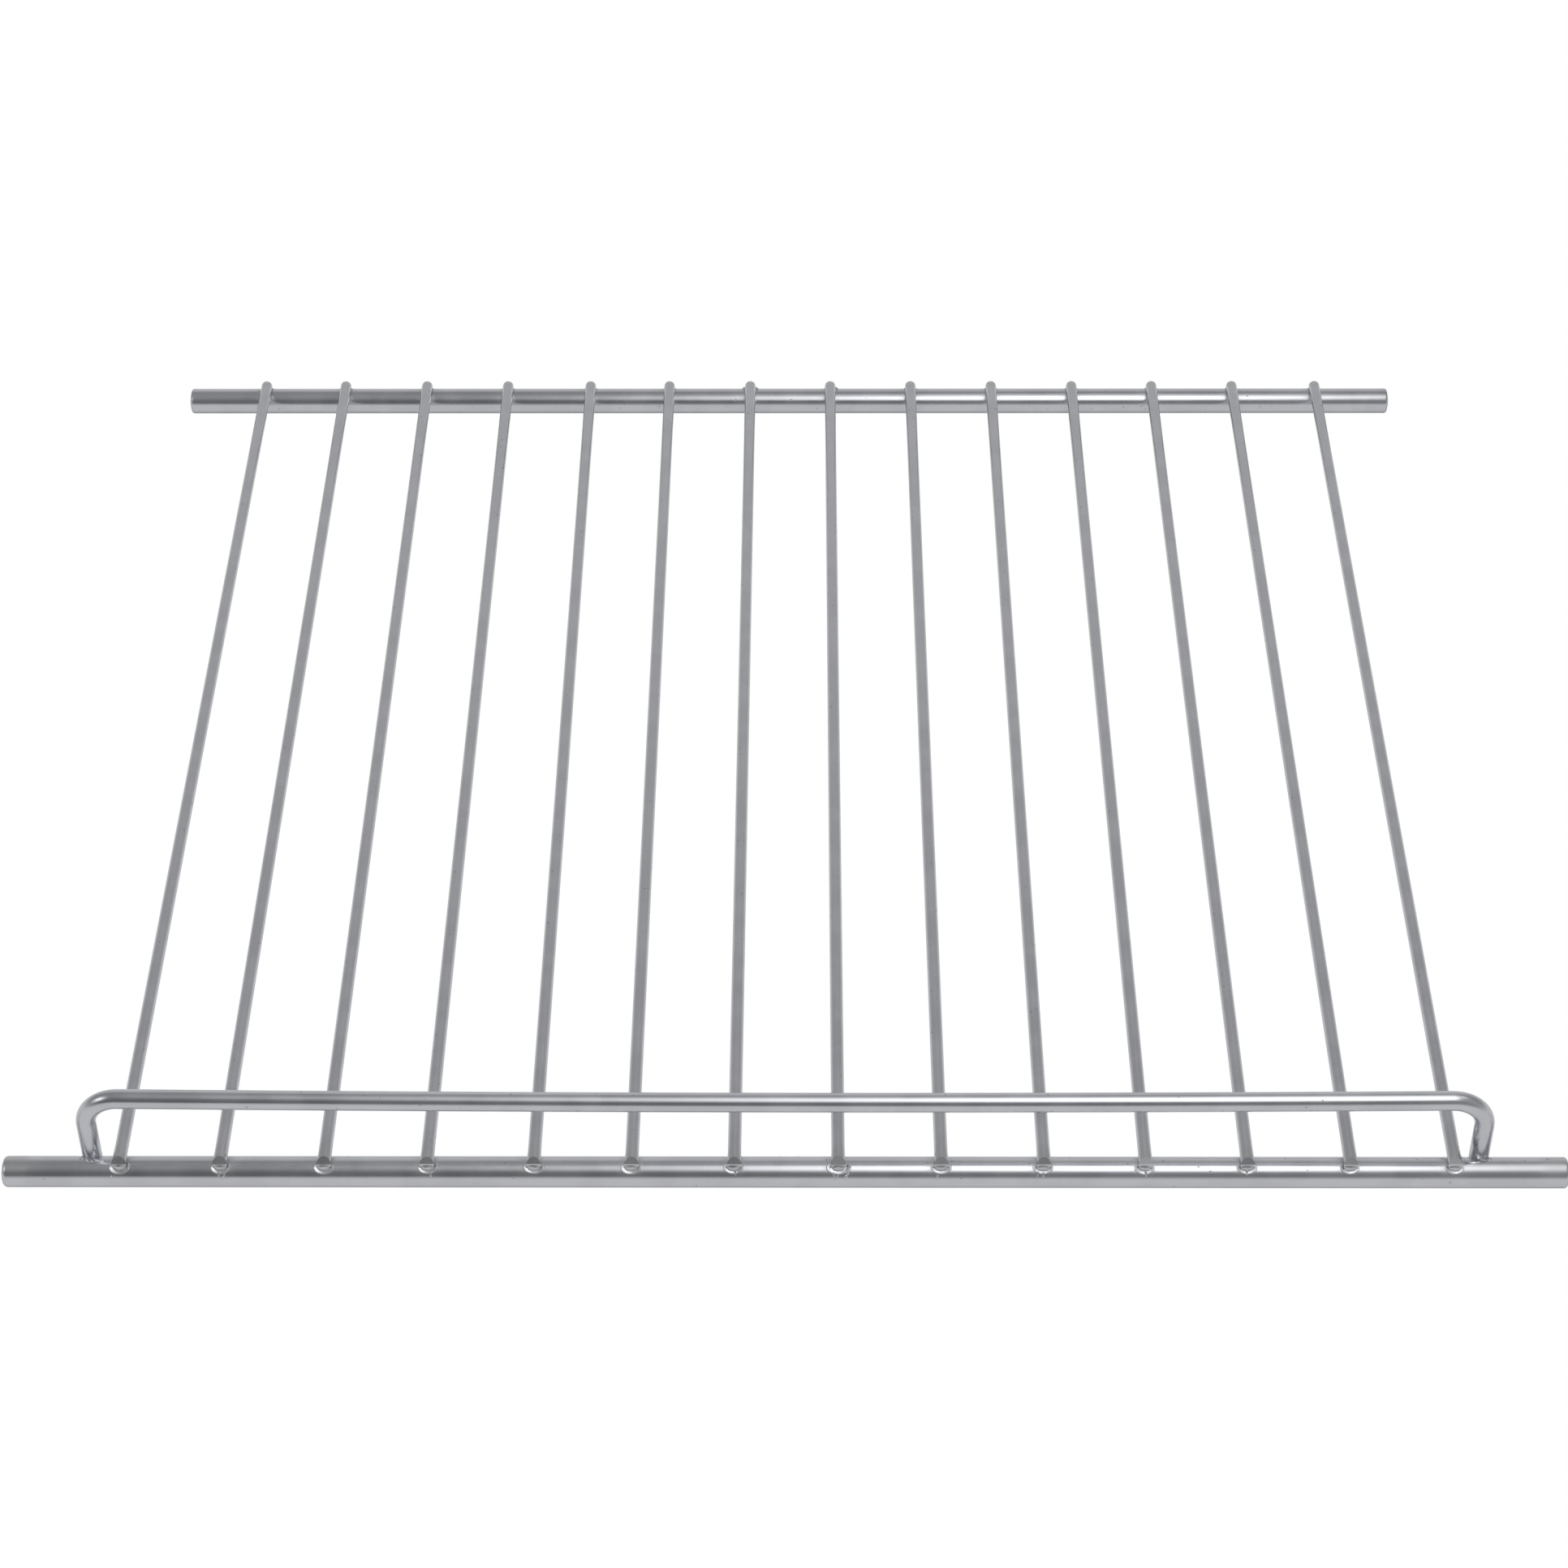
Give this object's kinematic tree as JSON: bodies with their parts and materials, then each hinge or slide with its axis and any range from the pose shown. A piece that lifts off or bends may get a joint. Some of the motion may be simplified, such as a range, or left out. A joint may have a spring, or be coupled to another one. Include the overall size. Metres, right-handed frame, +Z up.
{
  "type": "refrigerator wire shelf",
  "caption": "Flat welded wire shelf: thin wires across a longer front rod and a shorter back rod, with a bent guard rail standing on the front rod.",
  "frame": {"origin": "centre of the shelf's footprint, midway between the two rods, level with the underside of both", "axes": "+X along the rods, +Y from the front rod to the back rod, +Z up"},
  "size_m": [0.4, 0.343, 0.0298],
  "materials": {
    "rod_plating": "satin bright plating on drawn steel rod",
    "rail_plating": "satin bright plating on bent steel wire",
    "wire_plating": "satin bright plating on straight steel wire"
  },
  "bodies": {
    "root": {"front_rod": "rod_plating", "back_rod": "rod_plating", "guard_rail": "rail_plating", "shelf_wire_01": "wire_plating", "shelf_wire_02": "wire_plating", "shelf_wire_03": "wire_plating", "shelf_wire_04": "wire_plating", "shelf_wire_05": "wire_plating", "shelf_wire_06": "wire_plating", "shelf_wire_07": "wire_plating", "shelf_wire_08": "wire_plating", "shelf_wire_09": "wire_plating", "shelf_wire_10": "wire_plating", "shelf_wire_11": "wire_plating", "shelf_wire_12": "wire_plating", "shelf_wire_13": "wire_plating", "shelf_wire_14": "wire_plating"}
  },
  "joints": []
}
